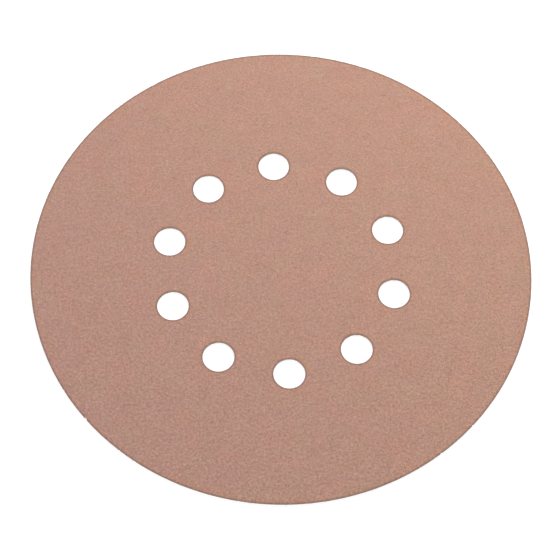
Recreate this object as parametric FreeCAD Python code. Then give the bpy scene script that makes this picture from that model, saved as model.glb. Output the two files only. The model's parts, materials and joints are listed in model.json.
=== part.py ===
import FreeCAD, Part
import math
import os
from collections import namedtuple

# Round sanding disc for a long-reach wall and ceiling sander. It is cut by one die from a laminate of
# three bonded sheets: a coat of abrasive grain in resin, the heavy paper that carries the grain, and a
# knitted loop fabric that grips the hooks of the sander's pad. Ten dust holes on one circle go
# straight through all three, in line with the suction holes of the pad.
#
# Frame: the origin is the centre of the loop face, which lies on the surface that the disc rests on.
# +Z points up, out of the grain. One dust hole lies on the +Y axis. Millimetres and degrees.

Bevel = namedtuple("Bevel", "width height")
Nick = namedtuple("Nick", "angle width depth")

# Disc and dust holes.
disc_diameter = 225.0
hole_circle_diameter = 104.0
hole_diameter = 14.0
hole_count = 10
first_hole_angle = 90.0

# Thickness of each sheet, from the pad's side to the working side.
loop_thickness = 0.80
paper_thickness = 0.30
coat_thickness = 0.20

# The die enters from the grain and rolls the top edge of the coat over at the rim and at every hole.
# The soft pile of the fabric springs back from the cut, so its lower edge is rounded off as well.
die_roll = Bevel(width=0.25, height=0.10)
pile_edge = Bevel(width=0.30, height=0.25)

# A bevel never takes more than this share of the sheet that it is on.
largest_bevel_share = 0.8

# Nicks that the die left in the rim: angle from +X, width along the rim, depth.
rim_nicks = (
    Nick(angle=217.1, width=1.5, depth=1.0),
    Nick(angle=208.7, width=1.0, depth=0.5),
    Nick(angle=227.8, width=0.9, depth=0.4),
    Nick(angle=313.8, width=1.0, depth=0.5),
    Nick(angle=304.0, width=1.1, depth=0.5),
    Nick(angle=28.2, width=0.9, depth=0.4),
)

# How far each cutting tool runs past the faces that it cuts.
tool_overrun = 1.0

disc_radius = disc_diameter / 2
hole_radius = hole_diameter / 2
hole_circle_radius = hole_circle_diameter / 2

# Heights of the faces between the sheets, stacked up from the surface that the disc rests on.
loop_face = 0.0
loop_to_paper = loop_face + loop_thickness
paper_to_coat = loop_to_paper + paper_thickness
grain_face = paper_to_coat + coat_thickness

SQUARE_EDGE = Bevel(width=0.0, height=0.0)
Z_AXIS = FreeCAD.Vector(0, 0, 1)
CENTRE = FreeCAD.Vector(0, 0, 0)


def turned(half_section):
    """The solid that a closed half section of (radius, height) corners sweeps about the Z axis."""
    corners = []
    for radius, height in half_section:
        corner = FreeCAD.Vector(radius, 0, height)
        if not corners or corner.distanceToPoint(corners[-1]) > 0:
            corners.append(corner)
    face = Part.Face(Part.makePolygon(corners + corners[:1]))
    return face.revolve(CENTRE, Z_AXIS, 360)


def round_blank(low, high, under, over):
    """A full round sheet between two heights, its rim bevelled under and over."""
    return turned([
        (0, low),
        (disc_radius - under.width, low),
        (disc_radius, low + under.height),
        (disc_radius, high - over.height),
        (disc_radius - over.width, high),
        (0, high),
    ])


def hole_punch(low, high, under, over):
    """A punch about the Z axis. The hole that it leaves flares by the bevels under and over."""
    return turned([
        (0, low - tool_overrun),
        (hole_radius + under.width, low - tool_overrun),
        (hole_radius + under.width, low),
        (hole_radius, low + under.height),
        (hole_radius, high - over.height),
        (hole_radius + over.width, high),
        (hole_radius + over.width, high + tool_overrun),
        (0, high + tool_overrun),
    ])


def around_hole_circle(tool):
    """Copies of a tool at every dust hole of the circle."""
    copies = []
    for number in range(hole_count):
        angle = math.radians(first_hole_angle + number * 360.0 / hole_count)
        copy = tool.copy()
        copy.translate(FreeCAD.Vector(math.cos(angle), math.sin(angle), 0) * hole_circle_radius)
        copies.append(copy)
    return copies


def nick_cutter(low, high, nick):
    """A V-shaped wedge that opens outwards from the tip of the nick and is as wide as it at the rim."""
    tip = disc_radius - nick.depth
    mouth = disc_radius + nick.depth
    half_mouth = nick.width
    foot = low - tool_overrun
    corners = [
        FreeCAD.Vector(tip, 0, foot),
        FreeCAD.Vector(mouth, -half_mouth, foot),
        FreeCAD.Vector(mouth, half_mouth, foot),
    ]
    outline = Part.makePolygon(corners + corners[:1])
    wedge = Part.Face(outline).extrude(Z_AXIS * (high - low + 2 * tool_overrun))
    wedge.rotate(CENTRE, Z_AXIS, nick.angle)
    return wedge


def within(bevel, thickness):
    """The bevel, no higher than its share of the sheet."""
    return bevel._replace(height=min(bevel.height, largest_bevel_share * thickness))


def die_cut_sheet(low, high, under=SQUARE_EDGE, over=SQUARE_EDGE):
    """One sheet of the laminate between two heights, cut round, punched and nicked."""
    under = within(under, high - low)
    over = within(over, high - low)
    blank = round_blank(low, high, under, over)
    punches = around_hole_circle(hole_punch(low, high, under, over))
    wedges = [nick_cutter(low, high, nick) for nick in rim_nicks]
    return blank.cut(punches + wedges)


def loop_fabric():
    """Knitted fabric whose pile of small loops grips the hooks of the pad."""
    return die_cut_sheet(loop_face, loop_to_paper, under=pile_edge)


def paper_backing():
    """Heavy paper, glued to the fabric below it, which carries the grain."""
    return die_cut_sheet(loop_to_paper, paper_to_coat)


def sanding_grit():
    """Coat of abrasive grain bedded in resin on the paper: the working face."""
    return die_cut_sheet(paper_to_coat, grain_face, over=die_roll)


NODES = {
    "loop_fabric": loop_fabric,
    "paper_backing": paper_backing,
    "sanding_grit": sanding_grit,
}


def main():
    os.makedirs("parts", exist_ok=True)
    for name, build in NODES.items():
        shape = build()
        if len(shape.Solids) != 1 or not shape.isValid():
            raise RuntimeError(f"{name} is not one valid solid")
        solid = shape.Solids[0]
        solid.exportStep(f"parts/{name}.step")
        box = solid.optimalBoundingBox()
        size = f"{box.XLength:.2f} x {box.YLength:.2f} x {box.ZLength:.2f} mm"
        print(f"{name}: {size}, {solid.Volume:.0f} mm3, {len(solid.Faces)} faces")


main()
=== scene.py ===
# %% [markdown]
# # A hook and loop sanding disc
#
# The disc is three thin sheets, bonded and cut out by one die: grit in resin, the paper that carries
# it, and a knitted fabric whose loops hold on to the hooks of a sander's pad. Its solids come from the
# CAD model. This lesson gives them the look of the real thing: grains that stand out of the resin, a
# cut edge that is rolled over and chipped, and a pile of small loops underneath.
#
# Everything is in metres, in the frame of the CAD model: the loops lie on the floor at z = 0, and the
# grit looks up.

# %% Load the frame
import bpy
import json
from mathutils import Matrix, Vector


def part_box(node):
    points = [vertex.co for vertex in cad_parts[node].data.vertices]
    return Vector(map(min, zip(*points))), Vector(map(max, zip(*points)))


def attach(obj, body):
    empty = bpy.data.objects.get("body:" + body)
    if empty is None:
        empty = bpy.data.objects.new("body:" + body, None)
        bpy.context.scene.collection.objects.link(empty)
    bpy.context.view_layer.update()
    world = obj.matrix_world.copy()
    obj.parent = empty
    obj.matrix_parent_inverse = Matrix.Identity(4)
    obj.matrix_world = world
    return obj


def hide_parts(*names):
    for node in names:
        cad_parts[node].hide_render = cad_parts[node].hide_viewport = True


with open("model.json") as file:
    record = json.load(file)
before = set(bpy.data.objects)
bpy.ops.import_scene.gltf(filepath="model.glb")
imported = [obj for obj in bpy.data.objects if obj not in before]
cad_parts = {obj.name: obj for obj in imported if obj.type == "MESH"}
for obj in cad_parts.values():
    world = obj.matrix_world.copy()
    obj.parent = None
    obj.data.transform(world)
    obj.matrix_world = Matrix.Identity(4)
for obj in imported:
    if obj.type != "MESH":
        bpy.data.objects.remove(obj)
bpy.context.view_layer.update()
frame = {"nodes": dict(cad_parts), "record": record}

# %% Modules and the unit of the small sizes
import json
import math

import bmesh
import bpy
import numpy as np
from mathutils import Matrix, Vector

MM = 0.001

# %% [markdown]
# ## Sizes from the frame
#
# A model that is dressed over another one should take its sizes from it and not repeat them. The boxes
# of the nodes give the disc's radius and the heights of its sheets, and the record gives the circle of
# dust holes. Only the nicks in the rim are written out again, because no box tells of them.

# %% Angles round a circle
def even_angles(steps):
    """The angles of even steps round a circle, from +X."""
    return np.arange(steps) * 2 * math.pi / steps


# %% Read the disc's sizes
grit_low, grit_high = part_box("sanding_grit")
fabric_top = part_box("loop_fabric")[1].z
dust_holes = next(mount for mount in frame["record"]["mounts"] if mount["name"] == "dust_holes")

disc_radius = round(grit_high.x, 5)
hole_count = dust_holes["dims"]["count"]
hole_radius = dust_holes["dims"]["hole_r_mm"] * MM
hole_circle = dust_holes["dims"]["pcd_mm"] / 2 * MM
first_hole = math.radians(90)
hole_angles = first_hole + even_angles(hole_count)
hole_middles = [(hole_circle * math.cos(angle), hole_circle * math.sin(angle)) for angle in hole_angles]

# Nicks in the rim: angle from +X in degrees, width along the rim and depth in millimetres.
rim_nicks = (
    (217.1, 1.5, 1.0),
    (208.7, 1.0, 0.5),
    (227.8, 0.9, 0.4),
    (313.8, 1.0, 0.5),
    (304.0, 1.1, 0.5),
    (28.2, 0.9, 0.4),
)
print(f"disc {2 * disc_radius / MM:.1f} mm across, {hole_count} holes of {2 * hole_radius / MM:.1f} mm")

# %% [markdown]
# ## The camera
#
# The rim and the ten holes are circles of known proportions, so their ellipses in the photograph fix
# where the camera stood. A long lens looks down on the disc from in front, a little to the left. Its
# focal length is given in pixels of a square picture and is turned into millimetres of the sensor.

# %% Place the camera
photo_side = 560
focal_pixels = 2054.3
sensor_width = 36.0
azimuth = math.radians(-5.557)
elevation = math.radians(64.030)
roll = math.radians(1.893)
distance = 0.9205
aim = Vector((-1.03 * MM, -6.26 * MM, grit_high.z))


def camera_axes(azimuth, elevation, roll):
    """Right, up and forward of a camera that looks down by the elevation and is rolled about its view."""
    forward = Vector((
        -math.sin(azimuth) * math.cos(elevation),
        math.cos(azimuth) * math.cos(elevation),
        -math.sin(elevation),
    ))
    level = Vector((math.cos(azimuth), math.sin(azimuth), 0))
    upright = level.cross(forward)
    right = math.cos(roll) * level + math.sin(roll) * upright
    up = math.cos(roll) * upright - math.sin(roll) * level
    return right, up, forward


right, up, forward = camera_axes(azimuth, elevation, roll)
camera = bpy.data.objects.new("camera", bpy.data.cameras.new("camera"))
bpy.context.collection.objects.link(camera)
camera.data.sensor_width = sensor_width
camera.data.lens = sensor_width * focal_pixels / photo_side
camera.data.clip_start = 0.01
camera.matrix_world = Matrix.Translation(aim - distance * forward) @ Matrix(
    (right, up, -forward)
).transposed().to_4x4()
bpy.context.scene.camera = camera
print(f"lens {camera.data.lens:.1f} mm, {distance:.3f} m away")

# %% [markdown]
# ## Small helpers for materials
#
# A material is a short program of nodes. These helpers add a node, join two sockets and blend colours,
# so that each finish further down reads as a list of what it does. Colours are written as the eye sees
# them on a screen, from 0 to 255, and turned into the linear values that light needs.

# %% Helpers that add nodes
def colour(red, green, blue):
    """The linear RGBA value of a screen colour, by the sRGB curve."""
    screen = np.array([red, green, blue]) / 255
    linear = np.where(screen <= 0.04045, screen / 12.92, ((screen + 0.055) / 1.055) ** 2.4)
    return (*linear.tolist(), 1.0)


def add(tree, kind, inputs=None, **settings):
    """A new node with its settings. inputs gives each socket a value, or another node's socket to join."""
    made = tree.nodes.new(kind)
    for key, value in settings.items():
        setattr(made, key, value)
    for key, value in (inputs or {}).items():
        if isinstance(value, bpy.types.NodeSocket):
            tree.links.new(value, made.inputs[key])
        else:
            made.inputs[key].default_value = value
    return made


def new_material(name, values=None):
    """A material with its tree and its one Principled shader, whose sockets take the given values."""
    material = bpy.data.materials.new(name)
    material.use_nodes = True
    shader = material.node_tree.nodes["Principled BSDF"]
    for key, value in (values or {}).items():
        shader.inputs[key].default_value = value
    return material, material.node_tree, shader


# %% Helpers for values and colours
def maths(tree, operation, first, second=0.0):
    """One sum on two values or sockets."""
    return add(tree, "ShaderNodeMath", {0: first, 1: second}, operation=operation).outputs[0]


def plus(tree, base, value, share):
    """The base, and a share of another value added to it."""
    return maths(tree, "ADD", base, maths(tree, "MULTIPLY", value, share))


def vector_maths(tree, operation, first, second):
    """One sum on two vectors or sockets. A dot product comes out as a value, all others as a vector."""
    outputs = add(tree, "ShaderNodeVectorMath", {0: first, 1: second}, operation=operation).outputs
    return outputs["Value" if operation == "DOT_PRODUCT" else "Vector"]


def spread(tree, value, low, high, to_low=0.0, to_high=1.0):
    """The value's range from low to high stretched onto another one, and held at its ends."""
    sockets = {"Value": value, "From Min": low, "From Max": high, "To Min": to_low, "To Max": to_high}
    return add(tree, "ShaderNodeMapRange", sockets).outputs[0]


def blend(tree, factor, first, second, blend_type="MIX"):
    """The first colour turned towards the second by the factor."""
    sockets = {0: factor, 6: first, 7: second}
    return add(tree, "ShaderNodeMix", sockets, data_type="RGBA", blend_type=blend_type).outputs[2]


def tinted(tree, base, tint):
    """A colour as it looks through a tint: the two are multiplied."""
    return blend(tree, 1.0, base, tint, "MULTIPLY")


def shaded(tree, base, level):
    """A colour made lighter or darker by a level about 1. Red changes least, so dark grains look redder."""
    levels = {index: maths(tree, "POWER", level, power) for index, power in enumerate((0.78, 1.0, 1.15))}
    return tinted(tree, base, add(tree, "ShaderNodeCombineColor", levels).outputs[0])


# %% Helpers for places, patterns and relief
def object_place(tree):
    """Where a point lies on the disc, in metres."""
    return add(tree, "ShaderNodeTexCoord").outputs["Object"]


def stored(tree, name):
    """A value that is stored on the points of the mesh."""
    return add(tree, "ShaderNodeAttribute", attribute_name=name).outputs["Fac"]


def noise(tree, place, size, detail=2.0, roughness=0.5):
    """Soft noise whose lumps are about size metres apart."""
    sockets = {"Vector": place, "Scale": 1 / size, "Detail": detail, "Roughness": roughness}
    return add(tree, "ShaderNodeTexNoise", sockets).outputs["Fac"]


def emboss(tree, shader, height, strength, distance):
    """Tilts the shader's normal as if the surface rose and fell with the height."""
    sockets = {"Strength": strength, "Distance": distance, "Height": height}
    tree.links.new(add(tree, "ShaderNodeBump", sockets).outputs[0], shader.inputs["Normal"])


# %% [markdown]
# ## Studio
#
# The photograph is a plain product picture. The light is soft and a little stronger from behind on the
# right, which makes the grit about a fifth brighter there than at the front on the left. An even white
# world fills in, and one large lamp gives the slope. A second lamp under the floor, which is clear from
# below, lights the loops for a view from there. The background is white by its own colour, so the lamps
# stay at a level at which the grit renders as it is written.

# %% World, lamps and floor
def soft_world(strength):
    """An even white sky that lights by its strength and looks plain white to the camera."""
    world = bpy.data.worlds.new("studio")
    bpy.context.scene.world = world
    world.use_nodes = True
    tree = world.node_tree
    rays = add(tree, "ShaderNodeLightPath").outputs
    seen = maths(tree, "MAXIMUM", rays["Is Camera Ray"], rays["Is Glossy Ray"])
    seen = maths(tree, "MAXIMUM", seen, rays["Is Transmission Ray"])
    level = spread(tree, seen, 0, 1, strength, 1)
    tree.links.new(level, tree.nodes["Background"].inputs["Strength"])
    tree.nodes["Background"].inputs["Color"].default_value = (1, 1, 1, 1)


def area_lamp(name, place, side, watts):
    """A square lamp that shines at the middle of the disc."""
    lamp = bpy.data.objects.new(name, bpy.data.lights.new(name, "AREA"))
    bpy.context.collection.objects.link(lamp)
    lamp.data.size = side
    lamp.data.energy = watts
    lamp.location = place
    lamp.rotation_euler = (-Vector(place)).to_track_quat("-Z", "Y").to_euler()


def floor_material():
    """White to the camera from above, with the disc's shadow on it. Clear from below and to soft light."""
    material, tree, shader = new_material("studio_floor")
    tree.nodes.remove(shader)
    rays = add(tree, "ShaderNodeLightPath").outputs
    behind = add(tree, "ShaderNodeNewGeometry").outputs["Backfacing"]
    lit = add(tree, "ShaderNodeBsdfDiffuse", {"Color": (0.4, 0.4, 0.4, 1)})
    lift = add(tree, "ShaderNodeEmission", {"Strength": 0.78})
    white = add(tree, "ShaderNodeEmission", {"Strength": 1.0})
    clear = add(tree, "ShaderNodeBsdfTransparent")
    paper = add(tree, "ShaderNodeAddShader", {0: lit.outputs[0], 1: lift.outputs[0]})
    from_above = maths(tree, "SUBTRACT", 1, behind)
    seen = maths(tree, "MULTIPLY", rays["Is Camera Ray"], from_above)
    mirrored = maths(tree, "MAXIMUM", rays["Is Glossy Ray"], rays["Is Transmission Ray"])
    other = add(tree, "ShaderNodeMixShader", {0: mirrored, 1: clear.outputs[0], 2: white.outputs[0]})
    result = add(tree, "ShaderNodeMixShader", {0: seen, 1: other.outputs[0], 2: paper.outputs[0]})
    tree.links.new(result.outputs[0], tree.nodes["Material Output"].inputs["Surface"])
    return material


soft_world(strength=0.455)
area_lamp("key_lamp", (0.30, 0.52, 0.76), side=0.45, watts=8.6)
area_lamp("under_lamp", (-0.5, -0.3, -0.7), side=0.4, watts=5.5)
bpy.ops.mesh.primitive_plane_add(size=8)
floor = bpy.context.object
floor.name = "studio_floor"
floor.data.materials.append(floor_material())
bpy.context.scene.view_settings.view_transform = "Standard"
print(f"studio: {floor.name} and {len(bpy.data.lights)} lamps")

# %% [markdown]
# ## The plan of a die-cut sheet
#
# A round sheet with ten round holes has no simple grid, but it falls into patches that do: a square
# bent into a disc at the centre, one cell round each hole, rings out towards the rim, and a fine band
# at the rim. Each patch is worked out as whole arrays. Neighbours share the points of their common
# edge, so the sheet closes up when those points are merged.
#
# Rows lie close together near a cut, where the sheet rolls over and chips, and far apart elsewhere.

# %% Steps of the plan
cell_steps = 40                       # along each of a cell's four sides
hole_steps = 4 * cell_steps           # round a hole
ring_steps = cell_steps * hole_count  # round the disc
rim_split = 4                         # fine steps at the rim for each of those
rim_steps = ring_steps * rim_split
cell_half = math.pi / hole_count      # half of a cell's angle
cell_reach = hole_circle * cell_half  # from the hole circle to a cell's inner and outer side
rim_band = 1.6 * MM                   # width of the fine band
band_join = 0.3 * MM                  # width of the row that joins it to the rings
collar = 1.5 * MM                     # the rows round a hole that stay circles
print(f"{rim_steps} steps round the rim, {hole_steps} round each hole")


# %% How far a point is from a cut
def nearest_cut(x, y):
    """How far the nearest cut is, and the angle of the way over it: outwards, or to a hole's middle."""
    nearest, heading = disc_radius - np.hypot(x, y), np.arctan2(y, x)
    for hole_x, hole_y in hole_middles:
        away = np.hypot(hole_x - x, hole_y - y) - hole_radius
        heading = np.where(away < nearest, np.arctan2(hole_y - y, hole_x - x), heading)
        nearest = np.minimum(nearest, away)
    return nearest, heading


def from_cut(x, y):
    """The distance to the nearest cut: the rim, or the circle of the nearest hole."""
    return nearest_cut(x, y)[0]


# %% The nicks and bites of the die
def nick_depth(angle):
    """How deep the nicks are at an angle of the rim: each is a V, deepest in its middle."""
    depth = np.zeros_like(angle)
    for centre, width, deep in rim_nicks:
        turn = (angle - math.radians(centre) + math.pi) % (2 * math.pi) - math.pi
        share = 1 - np.abs(turn) * disc_radius / (width * MM / 2)
        depth = np.maximum(depth, deep * MM * share)
    return depth


def rim_angles():
    """Even angles round the rim, the nearest ones moved onto the tip and corners of each nick."""
    step = 2 * math.pi / rim_steps
    angles = np.arange(rim_steps) * step
    for centre, width, _ in rim_nicks:
        half = width * MM / 2 / disc_radius
        for corner in (-half, 0, half):
            angle = math.radians(centre) + corner
            angles[round(angle / step) % rim_steps] = angle
    return angles


def bites(steps, depth, seed):
    """Small bites along a closed cut: random numbers, smoothed over three steps, above their mean."""
    random = np.random.default_rng(seed)
    raw = random.normal(size=steps)
    smooth = (np.roll(raw, 1) + 2 * raw + np.roll(raw, -1)) / 4
    return depth * np.clip(smooth, 0, None)


# %% Patches of points
def grid(points, closed=True):
    """The points and faces of a (rows, columns, 3) array. If it is closed, its columns go round a ring."""
    rows, columns = points.shape[:2]
    index = np.arange(rows * columns).reshape(rows, columns)
    near, far = index[:-1], index[1:]
    if closed:
        near = np.concatenate([near, near[:, :1]], axis=1)
        far = np.concatenate([far, far[:, :1]], axis=1)
    corners = (near[:, :-1], near[:, 1:], far[:, 1:], far[:, :-1])
    return points.reshape(-1, 3), np.stack(corners, axis=-1).reshape(-1, 4)


def join(coarse, fine):
    """Faces between a ring and a finer one. Each takes one step of the coarse ring, and its fine ones."""
    split = len(fine) // len(coarse)
    step = np.arange(len(coarse))
    back = step[:, None] * split + np.arange(split, -1, -1)
    corners = np.column_stack([step, (step + 1) % len(coarse), len(coarse) + back % len(fine)])
    return np.concatenate([coarse, fine]), corners


def filled(ring):
    """One face over a whole ring."""
    return ring, np.arange(len(ring))[None]


def ring(radius, angle):
    """Points on a circle about the disc's axis, at height zero."""
    radius, angle = np.broadcast_arrays(radius, angle)
    return np.stack([radius * np.cos(angle), radius * np.sin(angle), np.zeros(radius.shape)], axis=-1)


# %% The centre and the cells round the holes
def centre_plan():
    """A square grid bent into a disc: its nested squares become circles, each side a quarter turn."""
    line = np.linspace(-1, 1, ring_steps // 4 + 1)
    a, b = np.meshgrid(line, line, indexing="ij")
    wide = np.abs(a) >= np.abs(b)
    reach = np.maximum(np.abs(a), np.abs(b))
    major, minor = np.where(wide, a, b), np.where(wide, b, a)
    turn = math.pi / 4 * minor / np.where(reach > 0, reach, 1)
    radius = (hole_circle - cell_reach) * reach
    along, across = radius * np.sign(major) * np.cos(turn), radius * np.sin(turn)
    x, y = np.where(wide, along, across), np.where(wide, across, along)
    return np.stack([x, y, np.zeros_like(x)], axis=-1)


def cell_border(hole):
    """The border of a hole's cell: a square in radius and angle, walked from its outer right corner."""
    turn = np.arange(hole_steps) / cell_steps
    side = turn.astype(int)
    run = 2 * (turn - side) - 1
    whole = np.ones_like(run)
    outward = np.choose(side, (whole, -run, -whole, run))
    sideways = np.choose(side, (run, whole, -run, -whole))
    return ring(hole_circle + outward * cell_reach, hole_angles[hole] + sideways * cell_half)


def hole_ring(hole, radius):
    """A circle about a hole, its points on the rays of the cell's border."""
    turn = hole_angles[hole] + (np.arange(hole_steps) / cell_steps - 0.5) * math.pi / 2
    return ring(hole_circle, hole_angles[hole]) + ring(radius, turn)


# %% The two faces and the walls of a sheet
def fine_face(rim_cut, hole_cuts, edge_rows, cell_rows, ring_rows):
    """The patches of a face at height zero, its edge standing back from the die's line by the cuts."""
    patches = [grid(centre_plan(), closed=False)]
    for hole in range(hole_count):
        rows = []
        for edge in edge_rows:
            pull = 1 - edge / collar
            rows.append(hole_ring(hole, hole_radius + edge + hole_cuts[hole] * pull))
        last, border = hole_ring(hole, hole_radius + collar), cell_border(hole)
        rows += [last + (border - last) * share for share in np.linspace(0, 1, cell_rows)]
        patches.append(grid(np.stack(rows)))
    even = even_angles(ring_steps)
    radii = np.linspace(hole_circle + cell_reach, disc_radius - rim_band - band_join, ring_rows)
    patches.append(grid(ring(radii[:, None], even)))
    fine, snapped = even_angles(rim_steps), rim_angles()
    rows = []
    for edge in (rim_band, *reversed(edge_rows)):
        pull = 1 - edge / rim_band
        rows.append(ring(disc_radius - edge - rim_cut * pull, fine + (snapped - fine) * pull))
    patches.append(join(ring(radii[-1], even), rows[0]))
    patches.append(grid(np.stack(rows)))
    return patches


def cut_edges(rim_cut, hole_cuts):
    """The edge of a sheet at the rim and at each hole, standing back from the die's line by the cuts."""
    rim_edge = ring(disc_radius - rim_cut, rim_angles())
    return rim_edge, [hole_ring(hole, hole_radius + cut) for hole, cut in enumerate(hole_cuts)]


def plain_face(rim_edge, hole_edges):
    """The patches of a flat face with as few faces as the edges allow."""
    even = even_angles(ring_steps)
    inner = ring(hole_circle - cell_reach, even)
    outer = ring(hole_circle + cell_reach, even)
    cells = [grid(np.stack([edge, cell_border(hole)])) for hole, edge in enumerate(hole_edges)]
    return [filled(inner), *cells, join(outer, rim_edge)]


def raised(patches, height):
    """The same patches with each point lifted to the height that a function of x and y gives it."""
    lifted = []
    for points, faces in patches:
        z = height(points[:, 0], points[:, 1])
        lifted.append((np.column_stack([points[:, 0], points[:, 1], z]), faces))
    return lifted


def level_at(height):
    """A height function for a flat face."""
    return lambda x, y: np.full_like(x, height)


def wall(edge, top, bottom, rows=2):
    """The wall under an edge, from one height function down to another."""
    x, y = edge[:, 0], edge[:, 1]
    high, low = top(x, y), bottom(x, y)
    height = high + (low - high) * np.linspace(0, 1, rows)[:, None]
    return grid(np.stack(np.broadcast_arrays(x, y, height), axis=-1))


# %% From patches to a mesh
def mesh_of(name, patches):
    """A mesh from patches, each its points and one or more sets of faces. No points are merged."""
    points, starts, corners, total, count = [], [], [], 0, 0
    for patch_points, *face_sets in patches:
        points.append(patch_points)
        for faces in face_sets:
            corners.append((faces + count).ravel())
            starts.append(total + np.arange(len(faces)) * faces.shape[1])
            total += faces.size
        count += len(patch_points)
    mesh = bpy.data.meshes.new(name)
    mesh.vertices.add(count)
    mesh.vertices.foreach_set("co", np.concatenate(points).astype(np.float32).ravel())
    mesh.loops.add(total)
    mesh.loops.foreach_set("vertex_index", np.concatenate(corners).astype(np.int32))
    starts = np.concatenate(starts).astype(np.int32)
    mesh.polygons.add(len(starts))
    mesh.polygons.foreach_set("loop_start", starts)
    mesh.update(calc_edges=True)
    mesh.validate()
    return mesh


def welded(mesh, sharp_degrees=40):
    """Merges the points that patches share, turns all faces outwards and shades the gentle bends smooth."""
    shape = bmesh.new()
    shape.from_mesh(mesh)
    bmesh.ops.remove_doubles(shape, verts=shape.verts, dist=0.002 * MM)
    bmesh.ops.recalc_face_normals(shape, faces=shape.faces)
    open_edges = sum(not edge.is_manifold for edge in shape.edges)
    shape.to_mesh(mesh)
    shape.free()
    mesh.shade_smooth()
    mesh.set_sharp_from_angle(angle=math.radians(sharp_degrees))
    print(f"{mesh.name}: {len(mesh.vertices)} points, {open_edges} open edges")
    return mesh


def piece(name, mesh, material):
    """An object for a mesh, in the finish given, that rides on the disc's one body."""
    made = bpy.data.objects.new(name, mesh)
    bpy.context.collection.objects.link(made)
    mesh.materials.append(material)
    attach(made, "root")
    mesh.calc_loop_triangles()
    print(f"{name}: {len(mesh.loop_triangles)} triangles")
    return made


# %% Values stored on a mesh
def read(collection, key, width=1):
    """One value of each item of a mesh's collection as an array, with a row of width numbers for each."""
    kind = np.float32 if key in ("co", "normal") else np.int32
    values = np.empty(len(collection) * width, kind)
    collection.foreach_get(key, values)
    return values.reshape(-1, width) if width > 1 else values


def note_cut_distance(mesh):
    """Stores on each point of a mesh how far it is from the nearest cut, in millimetres."""
    x, y = read(mesh.vertices, "co", 3).T[:2]
    mesh.attributes.new("from_cut", "FLOAT", "POINT").data.foreach_set("value", from_cut(x, y) / MM)


def note_shades(mesh, shades, points_each):
    """Stores one shade for each small shape of a mesh on all of its points."""
    values = np.repeat(shades, points_each).astype(np.float32)
    mesh.attributes.new("shade", "FLOAT", "POINT").data.foreach_set("value", values)


# %% [markdown]
# ## A map for baked pictures
#
# The finishes below read a point's place on the disc, so they need no UV map. A picture that is baked
# from them does, and an automatic map would spend half of it on the face that is glued out of sight. So
# each sheet gets a map of its own: the face that shows fills the square as it lies, its walls fold out
# round it, and the hidden face is laid small in a corner that the round sheet leaves free.

# %% Lay a sheet out flat
map_half = disc_radius + 1.0 * MM     # half of the map's square, with room for the rim's wall
wall_tilt = 0.5                       # a face is a wall if its normal rises less than this
wall_stretch = 2.5                    # walls are drawn this much deeper than they are
hidden_scale = 0.16
hidden_middle = map_half - hidden_scale * map_half


def lay_flat(mesh, height, side):
    """The sheet's map. side is 1 if it shows from above, or -1 from below. height is that face's height."""
    x, y, z = read(mesh.vertices, "co", 3)[read(mesh.loops, "vertex_index")].T.astype(float)
    facing = side * np.repeat(read(mesh.polygons, "normal", 3)[:, 2], read(mesh.polygons, "loop_total"))
    fold = np.where(np.abs(facing) < wall_tilt, wall_stretch * np.abs(height(x, y) - z), 0)
    heading = nearest_cut(x, y)[1]
    x, y = x + fold * np.cos(heading), y + fold * np.sin(heading)
    hidden = facing < -wall_tilt
    x, y = (np.where(hidden, hidden_middle + hidden_scale * value, value) for value in (x, y))
    square = 0.5 + np.stack([side * x, y], axis=-1) / (2 * map_half)
    mesh.uv_layers.new(name="OFBake").uv.foreach_set("vector", square.astype(np.float32).ravel())
    print(f"{mesh.name}: map from {square.min():.3f} to {square.max():.3f}")


# %% [markdown]
# ## The tone of the grit
#
# The working face is one even tone from a step away. Close up it is resin full of grains, which crowd
# together in soft lumps of about a millimetre, on a ground that drifts very faintly from pinker to
# greyer over a centimetre or two. The lumps' light and dark are painted stronger towards the front,
# where light falls more glancingly on the grain: painted shade. Along every cut the tone darkens to a
# narrow line, which is painted shade at the cut. Beside that line lies a patchy band, a little warmer,
# where the coat has been handled.
#
# The resin and the grains that stand out of it share this tone, so it is a node group that both place.

# %% Colours of the grit
ground_tan = colour(185.5, 149, 127)
ground_pink = colour(194, 143.5, 125)
ground_grey = colour(187, 145, 129.5)
worn_warm = colour(194, 145, 121)
grain_pale = colour(238, 214, 196)
left_tint = (1.0, 1.0, 1.05, 1)       # the disc's left is a trace bluer than its right
right_tint = (1.0, 0.995, 0.96, 1)
# painted shade: the narrow darker line along every cut
cut_shade_tint = (0.66, 0.70, 0.79, 1)
no_tint = (1.0, 1.0, 1.0, 1)


# %% Shared effects, as node groups
def group(name, inputs, outputs):
    """An empty node group with named sockets. Returns it with the sockets inside it."""
    tree = bpy.data.node_groups.new(name, "ShaderNodeTree")
    for socket, kind, value in inputs:
        made = tree.interface.new_socket(socket, in_out="INPUT", socket_type=kind)
        if value is not None:
            made.default_value = value
    for socket, kind in outputs:
        tree.interface.new_socket(socket, in_out="OUTPUT", socket_type=kind)
    return tree, add(tree, "NodeGroupInput").outputs, add(tree, "NodeGroupOutput").inputs


def place_group(tree, shared, inputs):
    """One use of a shared group in a material, with its own values."""
    return add(tree, "ShaderNodeGroup", inputs, node_tree=shared).outputs


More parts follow.
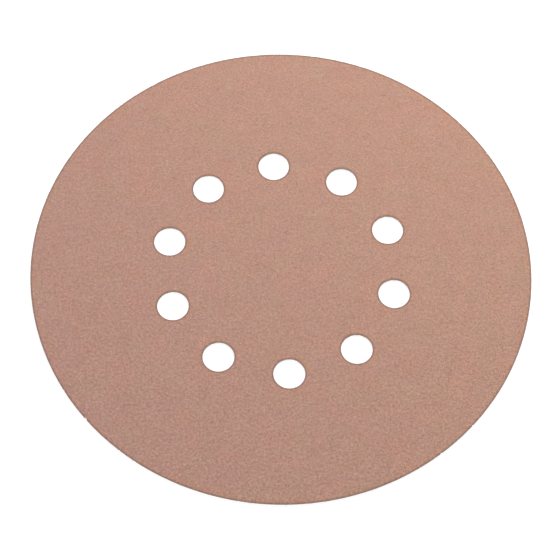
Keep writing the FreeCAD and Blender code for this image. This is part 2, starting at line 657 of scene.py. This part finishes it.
def ground_colour(tree, place, moved, cut_distance):
    """The ground's drift between three tones, the warmer patches along the cuts, and the bluer left side."""
    pinker = spread(tree, noise(tree, place, 14 * MM, 4, 0.75), 0.34, 0.66)
    ground = blend(tree, pinker, ground_tan, ground_pink)
    greyer = spread(tree, noise(tree, moved, 12 * MM, 4, 0.75), 0.34, 0.66)
    ground = blend(tree, greyer, ground, ground_grey)
    patches = spread(tree, noise(tree, moved, 4 * MM, 2), 0.36, 0.62, 0.0, 0.9)
    worn = maths(tree, "MULTIPLY", spread(tree, cut_distance, 0.9, 3.6, 1, 0), patches)
    ground = blend(tree, worn, ground, worn_warm)
    across = vector_maths(tree, "DOT_PRODUCT", place, (0.9, 0.4, 0))
    across = spread(tree, across, -disc_radius, disc_radius)
    return tinted(tree, ground, blend(tree, across, left_tint, right_tint))


def grit_tone_group():
    """The grit's tone: its ground, darker and lighter where grain crowds, and painted shade along a cut."""
    tree, given, result = group(
        "grit_tone",
        [("Place", "NodeSocketVector", None), ("From Cut", "NodeSocketFloat", 9.0)],
        [("Color", "NodeSocketColor"), ("Crowding", "NodeSocketFloat")],
    )
    place, cut_distance = given["Place"], given["From Cut"]
    moved = vector_maths(tree, "ADD", place, (0.4, 0.2, 0))
    ground = ground_colour(tree, place, moved, cut_distance)
    crowd = spread(tree, noise(tree, place, 1.15 * MM, 0.5), 0.28, 0.72, -1, 1)
    slow = spread(tree, noise(tree, moved, 9 * MM, 2), 0.28, 0.72, 0.97, 1.03)
    # Painted shade: the lumps' light and dark grow stronger towards the front, where light grazes the grain.
    coarse = vector_maths(tree, "DOT_PRODUCT", place, (0.35, 0.95, 0))
    coarse = spread(tree, coarse, -disc_radius, disc_radius, 0.15, 0.06)
    light = plus(tree, slow, crowd, coarse)
    # Painted shade: the tone darkens to a narrow line along every cut.
    whole = spread(tree, cut_distance, 0.55, 1.05)
    ground = tinted(tree, ground, blend(tree, whole, cut_shade_tint, no_tint))
    tree.links.new(shaded(tree, ground, light), result["Color"])
    tree.links.new(crowd, result["Crowding"])
    return tree


grit_tone = grit_tone_group()


def grit_tones(tree):
    """The tone of the grit at a point of the disc."""
    return place_group(tree, grit_tone, {"Place": object_place(tree), "From Cut": stored(tree, "from_cut")})


# %% [markdown]
# ## The finish of the resin
#
# Most of the grain is too small to see one by one, so the resin's finish draws it: cells of a third of a
# millimetre, each with a shade and a facet of its own, and darker gaps between them, which are painted
# shade in the low ground between grains. A facet is a slope in a random direction, worked out from the
# point's place in its cell, so that it catches the lamp as a real chip does.

# %% Resin full of fine grain
grain_cell = 0.34 * MM
grain_shades = (0.935, 1.065)         # from the darkest of those grains to the palest


def resin_material():
    """Cells with a shade and a slope of their own, painted shade in the gaps, and fine crumbs over all."""
    material, tree, shader = new_material("grit_resin")
    place, tone = object_place(tree), grit_tones(tree)
    cells = add(tree, "ShaderNodeTexVoronoi", {"Vector": place, "Scale": 1 / grain_cell}).outputs
    shade = add(tree, "ShaderNodeSeparateColor", {0: cells["Color"]}).outputs[0]
    shade = spread(tree, shade, 0, 1, *grain_shades)
    # Painted shade: the gaps between cells, where the relief is lowest, are darker.
    gap = spread(tree, cells["Distance"], 0.4, 0.8, 1.0, 0.82)
    level = maths(tree, "MULTIPLY", shade, gap)
    tree.links.new(shaded(tree, tone["Color"], level), shader.inputs["Base Color"])
    tree.links.new(spread(tree, shade, *grain_shades, 0.9, 0.66), shader.inputs["Roughness"])
    inside = vector_maths(tree, "SUBTRACT", place, cells["Position"])
    slope = vector_maths(tree, "SUBTRACT", cells["Color"], (0.5, 0.5, 0.5))
    facet = maths(tree, "DIVIDE", vector_maths(tree, "DOT_PRODUCT", inside, slope), grain_cell)
    dome = maths(tree, "MULTIPLY", cells["Distance"], -0.5)
    height = plus(tree, dome, facet, 4.5)
    height = plus(tree, height, tone["Crowding"], 0.5)
    height = plus(tree, height, noise(tree, place, 0.09 * MM, 2, 0.6), 0.9)
    emboss(tree, shader, height, 0.8, 0.07 * MM)
    return material


# %% [markdown]
# ## The coat of grit
#
# The resin is a closed skin. The die came in from this side, so its edge is rolled over by a few
# hundredths of a millimetre, is bitten all along and has flaked off here and there. Its surface swells
# by about a hundredth of a millimetre, as a thick coat does when it dries.

# %% The surface of the resin
edge_rows = (0.0, 0.05 * MM, 0.12 * MM, 0.22 * MM, 0.35 * MM, 0.6 * MM, 1.0 * MM)
roll_depth = 0.04 * MM
roll_width = 0.35 * MM
resin_sink = 0.09 * MM                # from the top of the solid down to the resin


def swell(x, y, height=0.012 * MM, waves=18):
    """Gentle swelling: a sum of waves in random directions, 3 to 9 mm long."""
    random = np.random.default_rng(5)
    total = np.zeros_like(x)
    angles, lengths = random.uniform(0, math.pi, waves), random.uniform(3, 9, waves)
    phases = random.uniform(0, 2 * math.pi, waves)
    for angle, length, phase in zip(angles, lengths, phases):
        along = x * math.cos(angle) + y * math.sin(angle)
        total += np.cos(2 * math.pi * along / (length * MM) + phase)
    return height * total / math.sqrt(waves)


def resin_top(x, y):
    """The height of the resin: level and gently swollen, and rolled over in a parabola at every cut."""
    near = np.clip(1 - from_cut(x, y) / roll_width, 0, 1)
    return grit_high.z - resin_sink - roll_depth * near ** 2 + swell(x, y)


def flaked(steps, count, depth, seed):
    """Where grit has flaked off along a cut: count hollows, two to five steps long and up to depth deep."""
    random = np.random.default_rng(seed)
    middle = random.choice(steps, count, replace=False) + random.uniform(0, 1, count)
    half = random.uniform(1.2, 2.4, count)
    away = (np.arange(steps)[:, None] - middle + steps / 2) % steps - steps / 2
    hollow = np.clip(1 - (away / half) ** 2, 0, None) * random.uniform(0.4, 1.0, count)
    return depth * hollow.max(axis=1, initial=0)


# %% Build the resin skin
def resin_mesh():
    """Fine top face, walls at the rim and the holes, and a plain underside on the paper."""
    rim_cut = nick_depth(rim_angles()) + bites(rim_steps, 0.09 * MM, seed=1)
    rim_cut += flaked(rim_steps, 36, 0.35 * MM, seed=2)
    hole_cuts = [
        bites(hole_steps, 0.06 * MM, seed=20 + hole)
        + flaked(hole_steps, hole % 3, 0.3 * MM, seed=70 + hole)
        for hole in range(hole_count)
    ]
    rim_edge, hole_edges = cut_edges(rim_cut, hole_cuts)
    under = level_at(grit_low.z)
    patches = raised(fine_face(rim_cut, hole_cuts, edge_rows, cell_rows=9, ring_rows=36), resin_top)
    patches += raised(plain_face(rim_edge, hole_edges), under)
    patches += [wall(edge, resin_top, under, rows=3) for edge in (rim_edge, *hole_edges)]
    return patches


mesh = welded(mesh_of("resin_coat", resin_mesh()))
note_cut_distance(mesh)
lay_flat(mesh, resin_top, side=1)
resin = piece("resin_coat", mesh, resin_material())
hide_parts("sanding_grit")

# %% [markdown]
# ## Grains that stand out
#
# The coarsest grains stand proud and catch the light on their own facets, so they are real: sharp,
# closed chips with four faces, sunk into the resin at random angles. They keep their facets flat,
# because a smooth grain would look like a drop. Each has its own shade, and a few are nearly white or
# dark.
#
# There are about seventy thousand, in two pieces so that neither grows too large: one for the ground
# inside a circle of half the disc's area, and one for the ring outside it.

# %% Sizes of the grains
grain_pitch = 0.72 * MM               # between neighbours, before they are pushed aside
row_stretch = 1.1547                  # the grid's rows are drawn apart to about one pitch
grain_clear = 0.15 * MM               # they keep this far from a cut
grain_middle, grain_spread = 0.25, 0.3  # middle size in millimetres, and spread of its logarithm
grain_smallest, grain_largest = 0.12, 0.42
grain_sunk = 0.03 * MM                # the corners lie this far under the resin
grain_tallest = 0.17 * MM             # the tips rise no further than this above it


# %% Scatter points over the disc, and set a chip on each
def columns_and_rows(pitch):
    """The numbers of all columns and rows of a grid that covers the disc at that pitch."""
    reach = int(disc_radius / pitch) + 2
    return np.meshgrid(np.arange(-reach, reach + 1), np.arange(-reach, reach + 1))


def scattered(seed):
    """Points of a hexagonal grid, its rows drawn apart, pushed aside at random and clear of all cuts."""
    random = np.random.default_rng(seed)
    column, row = columns_and_rows(grain_pitch)
    x = grain_pitch * (column + 0.5 * (row % 2))
    y = grain_pitch * math.sqrt(0.75) * row * row_stretch
    x = (x + random.uniform(-0.6, 0.6, x.shape) * grain_pitch).ravel()
    y = (y + random.uniform(-0.6, 0.6, y.shape) * grain_pitch).ravel()
    kept = from_cut(x, y) > grain_clear
    return x[kept], y[kept]


def chips(x, y, seed):
    """Four-faced chips: three corners sunk in the resin round each point, and a tip above it, off centre."""
    random = np.random.default_rng(seed)
    count = len(x)
    size = random.lognormal(math.log(grain_middle), grain_spread, count)
    size = np.clip(size, grain_smallest, grain_largest) * MM
    size = np.minimum(size, 0.8 * from_cut(x, y))
    turn = random.uniform(0, 2 * math.pi, (count, 1)) + even_angles(3)
    turn = turn + random.uniform(-0.4, 0.4, (count, 3))
    reach = size[:, None] * random.uniform(0.6, 1.2, (count, 3))
    corner_x, corner_y = x[:, None] + reach * np.cos(turn), y[:, None] + reach * np.sin(turn)
    base = np.stack([corner_x, corner_y, resin_top(corner_x, corner_y) - grain_sunk], axis=-1)
    aside = random.uniform(-0.45, 0.45, (2, count)) * size
    height = np.minimum(size * random.uniform(0.25, 0.65, count), grain_tallest)
    tip = np.stack([x + aside[0], y + aside[1], resin_top(x, y) + height], axis=-1)
    corners = np.array([[0, 2, 1], [0, 1, 3], [1, 2, 3], [2, 0, 3]])
    faces = np.arange(count)[:, None, None] * 4 + corners
    return np.concatenate([base, tip[:, None]], axis=1).reshape(-1, 3), faces.reshape(-1, 3)


# %% The finish of a grain
def grain_material():
    """The tone of the ground under the grain, lighter or darker by its own shade, with harder facets."""
    material, tree, shader = new_material("grit_grain")
    shade = stored(tree, "shade")
    own = shaded(tree, grit_tones(tree)["Color"], spread(tree, shade, 0.0, 0.5, 0.5, 1.0))
    paler = spread(tree, shade, 0.5, 1.0, 0.0, 0.6)
    tree.links.new(blend(tree, paler, own, grain_pale), shader.inputs["Base Color"])
    tree.links.new(spread(tree, shade, 0.0, 1.0, 0.75, 0.4), shader.inputs["Roughness"])
    return material


# %% Make the two pieces of grain
half_area_radius = disc_radius * math.sqrt(0.5)
x, y = scattered(seed=31)
inside = np.hypot(x, y) < half_area_radius
grain_finish = grain_material()
for name, chosen, seed in (("grains_inner", inside, 32), ("grains_outer", ~inside, 33)):
    points, faces = chips(x[chosen], y[chosen], seed)
    mesh = mesh_of(name, [(points, faces)])
    random = np.random.default_rng(seed + 10)
    shades = np.clip(random.normal(0.5, 0.16, chosen.sum()), 0, 1)
    note_shades(mesh, shades, 4)
    note_cut_distance(mesh)
    mesh.shade_flat()
    piece(name, mesh, grain_finish)

# %% [markdown]
# ## The paper
#
# Only the paper's cut edge shows, a third of a millimetre of it round the rim and in the holes, and a
# sliver where the grit has chipped. Its solid has the right shape, so it stays and gets a finish:
# brown paper whose fibres lie flat, drawn as noise that is stretched along the sheet.

# %% Shared fibres
def fibre_group():
    """Fine fibres: noise drawn out along a sheet and thin through it. Gives a value from 0 to 1."""
    tree, given, result = group(
        "fibres",
        [
            ("Place", "NodeSocketVector", None),
            ("Size", "NodeSocketFloat", 0.2 * MM),
            ("Stretch", "NodeSocketVector", None),
            ("Curl", "NodeSocketFloat", 0.3),
        ],
        [("Fibre", "NodeSocketFloat")],
    )
    drawn = vector_maths(tree, "MULTIPLY", given["Place"], given["Stretch"])
    scale = maths(tree, "DIVIDE", 1.0, given["Size"])
    sockets = {"Vector": drawn, "Scale": scale, "Detail": 4.0, "Roughness": 0.65}
    sockets["Distortion"] = given["Curl"]
    fine = add(tree, "ShaderNodeTexNoise", sockets).outputs["Fac"]
    tree.links.new(spread(tree, fine, 0.3, 0.7), result["Fibre"])
    return tree


fibres = fibre_group()


# %% Give the paper's solid its finish
def paper_material():
    """Heavy brown paper: flat fibres at the cut, in darker and lighter browns, with their relief."""
    material, tree, shader = new_material("kraft_paper", {"Roughness": 0.9})
    lie = {"Place": object_place(tree), "Size": 0.25 * MM, "Stretch": (0.3, 0.3, 3.0)}
    fibre = place_group(tree, fibres, lie)["Fibre"]
    tone = blend(tree, fibre, colour(150, 118, 92), colour(196, 164, 132))
    tree.links.new(tone, shader.inputs["Base Color"])
    emboss(tree, shader, fibre, 0.7, 0.05 * MM)
    return material


paper = frame["nodes"]["paper_backing"]
paper.material_slots[0].material = paper_material()
print(f"paper_backing: {len(paper.data.polygons)} triangles, in {paper.material_slots[0].material.name}")

# %% [markdown]
# ## Loop fabric
#
# Under the paper is a knitted fabric, brushed so that its loops stand up and the hooks of a pad can
# catch them. The knit itself is a closed sheet with its stitches in the finish, row by row. The loops
# are real: each is a bent thread from the knit to near the floor and back. They stand in the rows of
# the knit and lean the way that the brush went, each by its own amount.

# %% Sizes of the knit
pile_depth = 0.42 * MM                # from the floor up to the knit
knit_inset = 0.06 * MM                # the knit shrinks back this far from the cut
knit_roll_width = 0.4 * MM            # its edge is rounded under over this width
knit_roll = 0.15 * MM
wale_pitch = 1.45 * MM                # across the rows of the knit
course_pitch = 1.6 * MM               # along them


# %% The finish of the knit
def knit_material():
    """White nylon: rows of stitches whose threads slant both ways, with brushed fibres over them."""
    material, tree, shader = new_material("loop_knit", {"Roughness": 0.75, "Sheen Weight": 0.25})
    place = object_place(tree)
    split = add(tree, "ShaderNodeSeparateXYZ", {0: place}).outputs
    row = maths(tree, "PINGPONG", split["X"], wale_pitch / 4)
    row = spread(tree, row, 0, wale_pitch / 4)
    slant = plus(tree, split["Y"], row, wale_pitch * 0.35)
    stitch = maths(tree, "PINGPONG", slant, course_pitch / 4)
    stitch = spread(tree, stitch, 0, course_pitch / 4)
    relief = plus(tree, row, stitch, 0.6)
    relief = maths(tree, "MULTIPLY", relief, spread(tree, stored(tree, "from_cut"), 0.05, 0.4, 0.2, 1.0))
    lie = {"Place": place, "Size": 0.2 * MM, "Stretch": (1.0, 0.3, 1.0), "Curl": 1.2}
    brushed = place_group(tree, fibres, lie)["Fibre"]
    height = plus(tree, relief, brushed, 0.4)
    # The tone follows the relief: paler fibres, and painted shade in the stitch hollows and near a cut.
    tone = blend(tree, spread(tree, height, 0.2, 1.8), colour(206, 203, 196), colour(240, 239, 234))
    tree.links.new(tone, shader.inputs["Base Color"])
    emboss(tree, shader, height, 0.8, 0.12 * MM)
    return material


# %% Build the knit
def knit_under(x, y):
    """The pile's side of the knit: level, and rounded upwards close to a cut."""
    near = np.clip(1 - from_cut(x, y) / knit_roll_width, 0, 1)
    return pile_depth + knit_roll * near ** 2


def knit_mesh():
    """A closed sheet under the paper: its edge rows are rounded under, and its top is plain."""
    rim_cut = nick_depth(rim_angles()) + knit_inset + bites(rim_steps, 0.06 * MM, seed=41)
    hole_cuts = [knit_inset + bites(hole_steps, 0.06 * MM, seed=50 + hole) for hole in range(hole_count)]
    rim_edge, hole_edges = cut_edges(rim_cut, hole_cuts)
    top = level_at(fabric_top)
    under_rows = (0.0, 0.15 * MM, knit_roll_width)
    patches = raised(fine_face(rim_cut, hole_cuts, under_rows, cell_rows=4, ring_rows=8), knit_under)
    patches += raised(plain_face(rim_edge, hole_edges), top)
    patches += [wall(edge, top, knit_under) for edge in (rim_edge, *hole_edges)]
    return patches


mesh = welded(mesh_of("loop_knit", knit_mesh()))
note_cut_distance(mesh)
lay_flat(mesh, knit_under, side=-1)
knit = piece("loop_knit", mesh, knit_material())
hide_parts("loop_fabric")

# %% [markdown]
# ## The pile
#
# A thread that is a mesh keeps its shape in an exported model, as a hair or a curve would not. There
# are thousands, so each has five rings of three points and no more. Their middle lines are worked out
# together, as one array of threads by points by coordinates, and the rings are laid square to them.

# %% Sizes of the loops
thread_sides = 3
thread_rings = 5
loop_span = (1.2, 1.9)                # from foot to foot in millimetres, least and most
loop_clear = (0.09, 0.22)             # from the loop's middle line to the floor
loop_lean = (0.3, 0.3)                # how far it leans aside: middle and spread
thread_radius = (0.07, 0.11)
foot_sunk = 0.05 * MM                 # the feet end this far inside the knit
floor_gap = 0.005 * MM                # no thread comes closer to the floor than this
field_clear = 0.75 * MM               # the rows of loops end this far from a cut


# %% Shape the loops
def loop_paths(x, y, turn, random):
    """The middle lines of loops at those places, and the level direction across each.

    Each is half a turn of an ellipse, from one foot down to near the floor and up to the other, and
    leans aside by the same half sine.
    """
    count = len(x)
    span = random.uniform(*loop_span, count) * MM
    depth = pile_depth - random.uniform(*loop_clear, count) * MM
    lean = random.normal(*loop_lean, count) * MM
    bend = np.linspace(0, math.pi, thread_rings)
    along = -np.cos(bend) * span[:, None] / 2
    down = np.sin(bend) * (depth[:, None] + foot_sunk) - foot_sunk
    aside = np.sin(bend) * lean[:, None]
    level = np.zeros(count)
    ahead = np.stack([np.cos(turn), np.sin(turn), level], -1)[:, None]
    across = np.stack([-np.sin(turn), np.cos(turn), level], -1)[:, None]
    root = np.stack([x, y, level + pile_depth], -1)[:, None]
    path = root + ahead * along[..., None] + across * aside[..., None]
    return path - np.array([0, 0, 1]) * down[..., None], across


def thread_skins(path, across, radius):
    """A ring of points round each point of a path, square to its run there."""
    run = np.gradient(path, axis=1)
    run /= np.linalg.norm(run, axis=-1, keepdims=True)
    side = np.cross(run, across)
    side /= np.linalg.norm(side, axis=-1, keepdims=True)
    other = np.cross(run, side)
    spoke = even_angles(thread_sides)[:, None]
    wheel = np.cos(spoke) * side[:, :, None] + np.sin(spoke) * other[:, :, None]
    skin = path[:, :, None] + radius[:, None, None, None] * wheel
    skin[..., 2] = np.maximum(skin[..., 2], floor_gap)
    return skin


def thread_faces(count):
    """Four corners for each stretch of wall of every thread, and three for its two ends."""
    index = np.arange(count * thread_rings * thread_sides).reshape(count, thread_rings, thread_sides)
    turned = np.roll(index, -1, axis=2)
    walls = np.stack([index[:, :-1], turned[:, :-1], turned[:, 1:], index[:, 1:]], -1).reshape(-1, 4)
    ends = np.concatenate([index[:, 0, ::-1], index[:, -1]])
    return walls, ends


def held_in(threads, gap=0.03 * MM):
    """The same threads, with all that would pass a cut pushed back behind it."""
    x, y = threads[..., 0].copy(), threads[..., 1].copy()
    over = np.clip(np.hypot(x, y) - (disc_radius - gap), 0, None) / np.hypot(x, y)
    x, y = x - x * over, y - y * over
    for hole_x, hole_y in hole_middles:
        away_x, away_y = x - hole_x, y - hole_y
        away = np.hypot(away_x, away_y)
        under = np.clip(hole_radius + gap - away, 0, None) / away
        x, y = x + away_x * under, y + away_y * under
    return np.stack([x, y, threads[..., 2]], axis=-1)


# %% Where the loops stand
def field_places():
    """Places and directions in the rows of the knit, every other row half a step on, each a little off."""
    random = np.random.default_rng(61)
    column, row = columns_and_rows(wale_pitch)
    x = (wale_pitch * (column + 0.5) + random.normal(0, 0.1 * MM, column.shape)).ravel()
    y = (course_pitch * (row + 0.5 * (column % 2)) + random.normal(0, 0.25 * MM, column.shape)).ravel()
    turn = random.normal(math.pi / 2, 0.5, len(x))
    kept = from_cut(x, y) > field_clear
    return x[kept], y[kept], turn[kept]


def edge_places(pitch=0.75 * MM, inset=0.42 * MM):
    """Places along the rim and round the holes, where the loops lie along the cut."""
    random = np.random.default_rng(66)
    circles = [(0.0, 0.0, disc_radius - inset)]
    circles += [(*middle, hole_radius + inset) for middle in hole_middles]
    places = []
    for centre_x, centre_y, radius in circles:
        count = round(2 * math.pi * radius / pitch)
        angle = even_angles(count)
        off = radius + random.uniform(-0.08, 0.08, count) * MM
        x, y = centre_x + off * np.cos(angle), centre_y + off * np.sin(angle)
        places.append((x, y, angle + math.pi / 2 + random.normal(0, 0.15, count)))
    return [np.concatenate(values) for values in zip(*places)]


# %% Make the four pieces of the pile
def pile_material():
    """White nylon thread, each loop a slightly different white."""
    material, tree, shader = new_material("loop_pile", {"Roughness": 0.6, "Sheen Weight": 0.3})
    tone = blend(tree, stored(tree, "shade"), colour(220, 217, 210), colour(248, 247, 243))
    tree.links.new(tone, shader.inputs["Base Color"])
    return material


def pile_piece(name, places, seed):
    """One piece of the pile, its loops at the places given."""
    random = np.random.default_rng(seed)
    path, across = loop_paths(*places, random)
    radius = random.uniform(*thread_radius, len(path)) * MM
    points = held_in(thread_skins(path, across, radius)).reshape(-1, 3)
    mesh = mesh_of(name, [(points, *thread_faces(len(path)))])
    shades = np.random.default_rng(seed).uniform(0, 1, len(path))
    note_shades(mesh, shades, thread_rings * thread_sides)
    mesh.shade_smooth()
    return piece(name, mesh, pile_finish)


x, y, turn = field_places()
third = np.searchsorted((1 / 3, 2 / 3), (x ** 2 + y ** 2) / disc_radius ** 2)
pile_finish = pile_material()
pile = [
    pile_piece(name, (x[third == part], y[third == part], turn[third == part]), seed=62 + part)
    for part, name in enumerate(("loops_inner", "loops_middle", "loops_outer"))
]
pile.append(pile_piece("loops_edge", edge_places(), seed=67))
